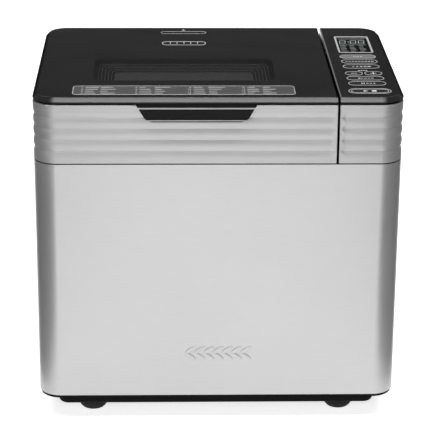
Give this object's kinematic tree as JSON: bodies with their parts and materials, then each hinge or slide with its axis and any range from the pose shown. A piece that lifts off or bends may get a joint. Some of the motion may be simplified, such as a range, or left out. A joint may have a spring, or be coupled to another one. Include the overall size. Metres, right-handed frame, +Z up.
{
  "type": "bread machine",
  "caption": "Countertop bread machine: steel casing with a ribbed band, black hinged lid with a window, side control panel, lift-out pan, kneading paddle and belt drive.",
  "frame": {"origin": "middle of the footprint on the surface it stands on", "axes": "+Z up, -Y towards the front with the lid's grip, +X towards the control section"},
  "size_m": [0.35, 0.284, 0.3324],
  "materials": {
    "steel": "satin",
    "gloss_black": "gloss",
    "smoked_glass": "gloss",
    "clear_glass": "gloss",
    "black_plastic": "matte",
    "rubber": "matte",
    "silicone": "matte",
    "zinc_screws": "satin",
    "sheet_steel": "satin",
    "aluminium": "satin",
    "nonstick": "satin",
    "bail_steel": "gloss",
    "element": "satin",
    "bronze": "satin",
    "moulded_grey": "matte",
    "motor_steel": "satin",
    "circuit": "satin",
    "display": "gloss",
    "bezel": "satin",
    "key": "gloss"
  },
  "bodies": {
    "housing": {"baking_chamber": "aluminium", "base_tray": "black_plastic", "bearing_block": "black_plastic", "casing_screws": "zinc_screws", "casing_wrap": "steel", "chassis_plate": "sheet_steel", "control_band": "steel", "control_board": "circuit", "control_frame": "black_plastic", "control_panel": "gloss_black", "cord_gland": "black_plastic", "display_bezel": "bezel", "display_lens": "clear_glass", "display_module": "display", "drive_belt": "rubber", "drive_bushes": "bronze", "element_clips": "sheet_steel", "heat_shield": "sheet_steel", "heating_element": "element", "hinge_brackets": "sheet_steel", "hinge_pins": "zinc_screws", "motor_frame": "motor_steel", "pan_clips": "sheet_steel", "power_board": "circuit", "rear_panel": "black_plastic", "rubber_feet": "rubber", "thermistor_probe": "element", "top_deck": "black_plastic"},
    "lid": {"lid_band": "steel", "lid_top_cover": "gloss_black", "viewing_window": "smoked_glass", "window_steps": "black_plastic", "inner_window": "clear_glass", "lid_frame": "black_plastic", "lid_liner": "aluminium", "lid_gasket": "silicone", "lid_screws": "zinc_screws", "lid_handle": "gloss_black", "hinge_arms": "sheet_steel"},
    "pan": {"bread_pan": "nonstick", "pan_foot": "aluminium", "pan_lugs": "aluminium"},
    "bail": {"pan_bail": "bail_steel"},
    "paddle": {"kneading_paddle": "nonstick", "paddle_shaft": "sheet_steel", "driven_coupling": "sheet_steel"},
    "drive": {"drive_pulley": "moulded_grey", "drive_shaft": "sheet_steel", "drive_coupling": "sheet_steel"},
    "rotor": {"motor_rotor": "motor_steel", "motor_pulley": "moulded_grey"},
    "crust_button": {"crust_key": "key"},
    "delay_button": {"delay_key": "key"},
    "loaf_size_button": {"loaf_size_key": "key"},
    "menu_button": {"menu_key": "key"},
    "pause_button": {"pause_key": "key"},
    "start_stop_button": {"start_stop_key": "key"},
    "time_minus_button": {"time_minus_key": "key"},
    "time_plus_button": {"time_plus_key": "key"}
  },
  "joints": [
    {"name": "lid_hinge", "type": "hinge", "parent": "housing", "child": "lid", "pos_m": [-0.0319, 0.137, 0.2675], "axis": [-1, 0, 0], "range_deg": [0, 88]},
    {"name": "pan_lift", "type": "slide", "parent": "housing", "child": "pan", "axis": [0, 0, 1], "range_m": [0, 0.085]},
    {"name": "bail_pivot", "type": "hinge", "parent": "pan", "child": "bail", "pos_m": [-0.0319, 0, 0.196], "axis": [1, 0, 0], "range_deg": [0, 170]},
    {"name": "paddle_spin", "type": "hinge", "parent": "pan", "child": "paddle", "pos_m": [-0.0319, 0, 0.08], "axis": [0, 0, 1], "continuous": true},
    {"name": "drive_spin", "type": "hinge", "parent": "housing", "child": "drive", "pos_m": [-0.0319, 0, 0.04], "axis": [0, 0, 1], "continuous": true},
    {"name": "rotor_spin", "type": "hinge", "parent": "housing", "child": "rotor", "pos_m": [0.13595, 0, 0.06], "axis": [0, 0, 1], "continuous": true},
    {"name": "crust_press", "type": "slide", "parent": "housing", "child": "crust_button", "axis": [0, 0, -1], "range_m": [0, 0.0008], "stiffness_N_per_m": 400, "springref_m": -0.0005},
    {"name": "delay_press", "type": "slide", "parent": "housing", "child": "delay_button", "axis": [0, 0, -1], "range_m": [0, 0.0008], "stiffness_N_per_m": 400, "springref_m": -0.0005},
    {"name": "loaf_size_press", "type": "slide", "parent": "housing", "child": "loaf_size_button", "axis": [0, 0, -1], "range_m": [0, 0.0008], "stiffness_N_per_m": 400, "springref_m": -0.0005},
    {"name": "menu_press", "type": "slide", "parent": "housing", "child": "menu_button", "axis": [0, 0, -1], "range_m": [0, 0.0008], "stiffness_N_per_m": 400, "springref_m": -0.0005},
    {"name": "pause_press", "type": "slide", "parent": "housing", "child": "pause_button", "axis": [0, 0, -1], "range_m": [0, 0.0008], "stiffness_N_per_m": 400, "springref_m": -0.0005},
    {"name": "start_stop_press", "type": "slide", "parent": "housing", "child": "start_stop_button", "axis": [0, 0, -1], "range_m": [0, 0.0008], "stiffness_N_per_m": 400, "springref_m": -0.0005},
    {"name": "time_minus_press", "type": "slide", "parent": "housing", "child": "time_minus_button", "axis": [0, 0, -1], "range_m": [0, 0.0008], "stiffness_N_per_m": 400, "springref_m": -0.0005},
    {"name": "time_plus_press", "type": "slide", "parent": "housing", "child": "time_plus_button", "axis": [0, 0, -1], "range_m": [0, 0.0008], "stiffness_N_per_m": 400, "springref_m": -0.0005}
  ],
  "couplings": [
    {"joint": "rotor_spin", "follows": "drive_spin", "ratio": 4.4314},
    {"joint": "paddle_spin", "follows": "drive_spin", "ratio": 1}
  ]
}
